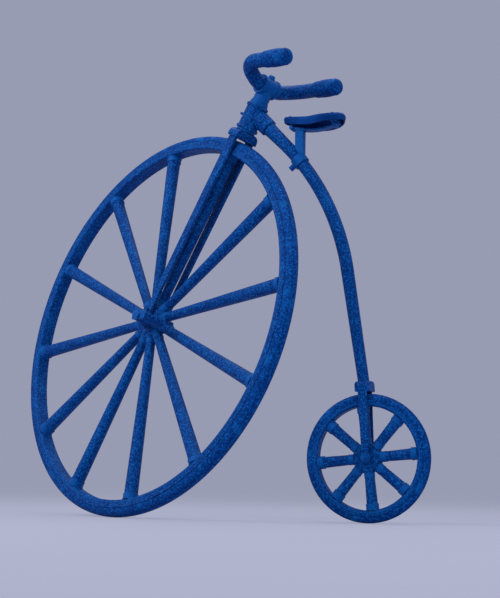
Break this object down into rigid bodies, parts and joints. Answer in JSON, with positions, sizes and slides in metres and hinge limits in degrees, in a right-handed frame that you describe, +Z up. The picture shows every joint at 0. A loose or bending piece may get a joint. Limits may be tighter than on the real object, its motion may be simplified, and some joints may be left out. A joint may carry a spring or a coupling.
{
  "type": "penny farthing bicycle",
  "caption": "High-wheel bicycle with a large steered front wheel, small trailing wheel, curved backbone, swept handlebar, saddle and pedals.",
  "frame": {"origin": "the rider's place on top of the saddle, in the machine's middle plane", "axes": "+X towards the rear wheel, +Y towards the rider's right, +Z up; the front wheel rests turned to the rider's right"},
  "size_m": [1.6, 0.6878, 1.5438],
  "materials": {
    "blue_enamel": "thick brushed-on blue enamel, mottled",
    "blue_tyre": "blue solid rubber tyre",
    "blue_rubber": "blue moulded rubber",
    "blue_leather": "blue dyed saddle leather"
  },
  "bodies": {
    "frame": {"neck": "blue_enamel", "lower_collar": "blue_enamel", "upper_collar": "blue_enamel", "backbone": "blue_enamel", "rear_fork": "blue_enamel", "rear_axle": "blue_enamel", "rear_nut_left": "blue_enamel", "rear_nut_right": "blue_enamel", "saddle": "blue_leather", "saddle_spring": "blue_enamel", "saddle_blocks": "blue_enamel", "saddle_bracket": "blue_enamel"},
    "steering": {"fork_crown": "blue_enamel", "steering_column": "blue_enamel", "fork_leg_left": "blue_enamel", "fork_leg_right": "blue_enamel", "front_bearing_left": "blue_enamel", "front_bearing_right": "blue_enamel", "handlebar_lug": "blue_enamel", "handlebar": "blue_enamel", "grip_left": "blue_rubber", "grip_right": "blue_rubber"},
    "front_wheel": {"front_tyre": "blue_tyre", "front_rim": "blue_enamel", "front_spokes": "blue_enamel", "front_nave": "blue_enamel", "front_axle": "blue_enamel", "crank_left": "blue_enamel", "crank_right": "blue_enamel"},
    "rear_wheel": {"rear_tyre": "blue_tyre", "rear_rim": "blue_enamel", "rear_spokes": "blue_enamel", "rear_nave": "blue_enamel"},
    "pedal_left": {"pedal_body_left": "blue_enamel", "pedal_rubbers_left": "blue_rubber"},
    "pedal_right": {"pedal_body_right": "blue_enamel", "pedal_rubbers_right": "blue_rubber"}
  },
  "joints": [
    {"name": "steering_turn", "type": "hinge", "parent": "frame", "child": "steering", "pos_m": [-0.585, 0, -0.67723], "axis": [0.454, 0, 0.891], "range_deg": [-19, 77]},
    {"name": "front_wheel_spin", "type": "hinge", "parent": "steering", "child": "front_wheel", "pos_m": [-0.585, 0, -0.67723], "axis": [-0.432, -0.8746, 0.2201], "continuous": true},
    {"name": "rear_wheel_spin", "type": "hinge", "parent": "frame", "child": "rear_wheel", "pos_m": [0.188, 0, -1.139], "axis": [0, -1, 0], "continuous": true},
    {"name": "pedal_left_spin", "type": "hinge", "parent": "front_wheel", "child": "pedal_left", "pos_m": [-0.52142, -0.17242, -0.69239], "axis": [-0.432, -0.8746, 0.2201], "continuous": true},
    {"name": "pedal_right_spin", "type": "hinge", "parent": "front_wheel", "child": "pedal_right", "pos_m": [-0.64858, 0.17242, -0.66208], "axis": [-0.432, -0.8746, 0.2201], "continuous": true}
  ]
}
